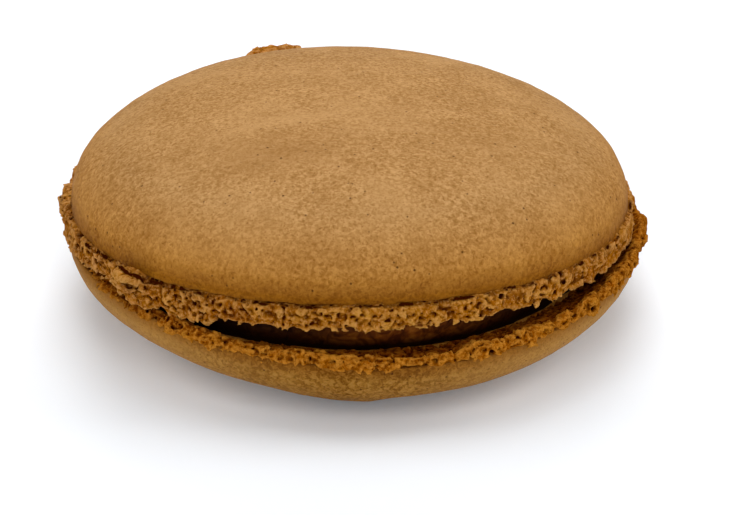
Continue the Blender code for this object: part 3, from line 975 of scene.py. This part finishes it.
def foot_material(name, look):
    """Baked foam with painted highlights on its peaks and painted shade in its hollows, in golden, amber and
    brown patches.
    """
    light, mid, deep, darkest = (srgb(look[key]) for key in ("light", "mid", "deep", "darkest"))
    s = Shader(name, 0.8, 0.0)
    grain = s.noise(0.2, 4.0, 0.6, 0.7)
    depth = s.map(s.layer("deep"), -0.3, 0.5)
    # Painted shade deeper in the foam and painted highlight on its peaks.
    colour = s.ramp(depth, (0.0, light), (0.3, mid), (0.65, deep), (1.0, darkest))
    colour = s.mix(s.map(s.layer("pale"), 0.3, 0.95, 0.0, 0.4), colour, srgb(look["pale"]))
    colour = s.mix(s.map(s.noise(1.4, 2.0, 0.8), 0.5, 0.66, 0.0, 0.7), colour, srgb(look["amber"]))
    colour = s.mix(s.map(s.noise(0.9, 2.0, 0.5), 0.5, 0.7, 0.0, 0.5), colour, deep)
    colour = s.mix(s.map(s.noise(1.3, 2.0, 1.0), 0.44, 0.56), colour, GOLDEN_TINT, "MULTIPLY")
    # Painted highlight on crests that stand above the smoothed surface.
    colour = s.mix(s.map(s.layer("hollow"), -0.01, -0.06, 0.0, 0.6), colour, light)
    colour = s.mix(s.layer("tint"), colour, look["tint"], "MULTIPLY")
    colour = s.mix(s.map(grain, 0.53, 0.64, 0.0, 0.7), colour, light)
    colour = s.mix(s.map(grain, 0.47, 0.36, 0.0, 0.7), colour, deep)
    # Painted shade on the bottom foot's inner face under the top shell; inner_shade is 0 for the top foot.
    inner = s.map(s.layer("pale"), 0.5, 0.1, 0.0, look["inner_shade"])
    colour = s.mix(inner, colour, INNER_SHADE_TINT, "MULTIPLY")
    # Painted shade in hollows below the smoothed surface.
    colour = s.mix(s.map(s.layer("hollow"), 0.0, 0.06), colour, darkest)
    # Painted shade in the seam's groove under the dome's edge.
    colour = s.mix(s.map(s.layer("seam"), 0.0, 0.8), colour, darkest)
    normal = s.bump(grain, 0.14)
    normal = s.bump(s.noise(0.12, 1.0), 0.03, normal)
    return s.finish(colour, normal)


def ganache_material():
    """Chocolate in faint streaks, with painted shade where it is low and away from the light at the front."""
    dark, mid, light = (srgb(GANACHE[key]) for key in ("dark", "mid", "light"))
    s = Shader("ganache", 0.6, 0.06)
    streaks = s.noise(1.1, 4.0, 1.5)
    colour = s.ramp(streaks, (0.35, dark), (0.52, mid), (0.7, light))
    # Painted shade at the bottom of the filling, in the crevice above the bottom foot.
    colour = s.mix(s.map(s.layer("rise"), 0.4, 0.1, 0.0, 0.95), colour, srgb(GANACHE["low"]))
    colour = s.mix(s.map(s.layer("lit"), 1.0, 0.0, 0.0, 0.92), colour, srgb(GANACHE["unlit"]))
    normal = s.bump(s.noise(0.35, 3.0, 0.5), 0.05)
    return s.finish(colour, normal, s.map(streaks, 0.3, 0.8, 0.66, 0.55))


# Stage, light and camera

def add_floor():
    half = FLOOR_HALF * MM
    corners = [(-half, -half, 0), (half, -half, 0), (half, half, 0), (-half, half, 0)]
    mesh = bpy.data.meshes.new("floor")
    mesh.from_pydata(corners, [], [(0, 1, 2, 3)])
    floor = bpy.data.objects.new("floor", mesh)
    s = Shader("floor", 0.9, 0.1)
    colour = s.ramp(s.noise(60.0, 2.0), (0.3, FLOOR_COLOURS[0]), (0.7, FLOOR_COLOURS[1]))
    s.link(colour, s.surface.inputs["Base Color"])
    # Painted light: a faint glow that lifts the floor's shadows.
    s.surface.inputs["Emission Color"].default_value = (*FLOOR_GLOW, 1.0)
    s.surface.inputs["Emission Strength"].default_value = 1.0
    mesh.materials.append(s.material)
    bpy.context.scene.collection.objects.link(floor)


def add_light(name, place, size, power):
    light = bpy.data.lights.new(name, "AREA")
    light.shape = "DISK"
    light.size = size * MM
    light.energy = power
    lamp = bpy.data.objects.new(name, light)
    lamp.location = Vector(place) * MM
    aim = Vector(LAMP_TARGET) * MM - lamp.location
    lamp.rotation_euler = aim.to_track_quat("-Z", "Y").to_euler()
    bpy.context.scene.collection.objects.link(lamp)


def add_world(strength):
    world = bpy.data.worlds.new("studio")
    world.use_nodes = True
    background = world.node_tree.nodes["Background"]
    background.inputs["Color"].default_value = (1.0, 1.0, 1.0, 1.0)
    background.inputs["Strength"].default_value = strength
    bpy.context.scene.world = world


def add_camera():
    turn = np.radians(VIEW_ELEVATION)
    right = Vector((1, 0, 0))
    up = Vector((0, np.sin(turn), np.cos(turn)))
    forward = Vector((0, np.cos(turn), -np.sin(turn)))
    target = Vector((0, 0, VIEW_TARGET_HEIGHT)) + VIEW_TARGET_RIGHT * right + VIEW_TARGET_UP * up
    data = bpy.data.cameras.new("camera")
    data.sensor_width = SENSOR
    data.lens = PIXELS_PER_MM * VIEW_DISTANCE / IMAGE_WIDTH * SENSOR
    data.clip_start, data.clip_end = 0.01, 10.0
    camera = bpy.data.objects.new("camera", data)
    place = (target - VIEW_DISTANCE * forward) * MM
    camera.matrix_world = Matrix.Translation(place) @ Matrix((right, up, -forward)).transposed().to_4x4()
    bpy.context.scene.collection.objects.link(camera)
    bpy.context.scene.camera = camera


def main():
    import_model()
    bpy.context.scene.view_settings.view_transform = "Standard"
    add_camera()
    add_floor()
    add_world(WORLD_LIGHT)
    for name, place, size, power in LIGHTS:
        add_light(name, place, size, power)
    add_top_skin(skin_material("top_skin", TOP_SKIN))
    add_top_foot(foot_material("top_foot", TOP_FOOT))
    add_ganache(ganache_material())
    add_bottom_skin(skin_material("bottom_skin", BOTTOM_SKIN))
    add_bottom_foot(foot_material("bottom_foot", BOTTOM_FOOT))
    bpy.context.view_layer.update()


main()
